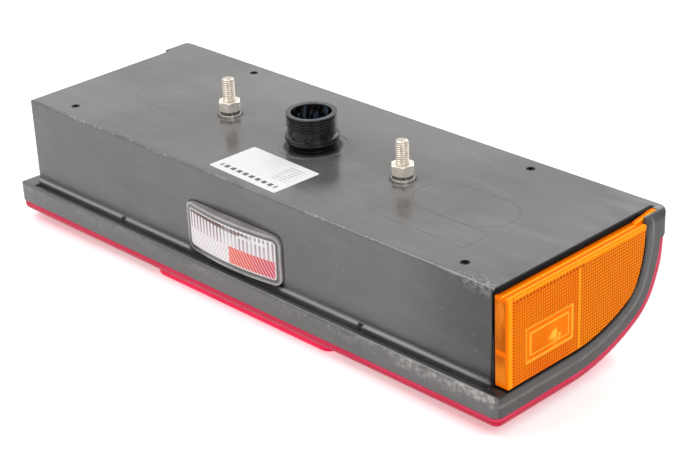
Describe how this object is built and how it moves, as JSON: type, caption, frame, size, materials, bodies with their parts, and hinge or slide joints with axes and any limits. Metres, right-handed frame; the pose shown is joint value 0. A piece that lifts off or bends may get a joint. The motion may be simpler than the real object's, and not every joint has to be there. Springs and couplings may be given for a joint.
{
  "type": "tail light cluster",
  "caption": "Flat-backed rear lamp for a truck or trailer: curved red lens, reflex panel, side marker, number plate light, round connector and mounting studs.",
  "frame": {"origin": "axis of the connector where it leaves the flat back face, midway between the two mounting studs", "axes": "+Z leaves the back face along the studs, +X runs to the side marker, +Y to the curved side, and the lens looks along -Z"},
  "size_m": [0.425, 0.1458, 0.1095],
  "materials": {
    "housing_plastic": "satin",
    "red_lens": "gloss",
    "clear_lens": "gloss",
    "amber_lens": "gloss",
    "red_reflex": "gloss",
    "amber_marker": "gloss",
    "plate_lens": "gloss",
    "seal_rubber": "matte",
    "seal_red": "matte",
    "reflector_white": "satin",
    "holder_steel": "satin",
    "bulb_glass": "clear",
    "amber_bulb_glass": "clear",
    "contact_brass": "satin",
    "pin_brass": "polished",
    "connector_plastic": "gloss",
    "stud_zinc": "bright zinc",
    "washer_zinc": "bright zinc",
    "nut_zinc": "bright zinc",
    "screw_zinc": "zinc",
    "label_paper": "paper"
  },
  "bodies": {
    "root": {"housing": "housing_plastic", "main_lens": "red_lens", "reversing_window": "clear_lens", "indicator_window": "amber_lens", "reflex_reflector": "red_reflex", "lens_gasket": "seal_rubber", "side_marker_lens": "amber_marker", "side_marker_seal": "seal_rubber", "number_plate_lens": "plate_lens", "number_plate_seal": "seal_rubber", "reflector_insert": "reflector_white", "fog_bulb_holder": "holder_steel", "reversing_bulb_holder": "holder_steel", "tail_bulb_holder": "holder_steel", "stop_bulb_holder": "holder_steel", "indicator_bulb_holder": "holder_steel", "marker_bulb_holder": "holder_steel", "fog_bulb": "bulb_glass", "reversing_bulb": "bulb_glass", "tail_bulb": "bulb_glass", "stop_bulb": "bulb_glass", "indicator_bulb": "amber_bulb_glass", "marker_bulb": "bulb_glass", "contact_strips": "contact_brass", "earth_strip": "contact_brass", "connector_socket": "connector_plastic", "contact_pins": "pin_brass", "connector_seal": "seal_red", "mounting_studs": "stud_zinc", "flat_washers": "washer_zinc", "spring_washers": "washer_zinc", "stud_nuts": "nut_zinc", "lens_screws": "screw_zinc", "back_label": "label_paper"}
  },
  "joints": []
}
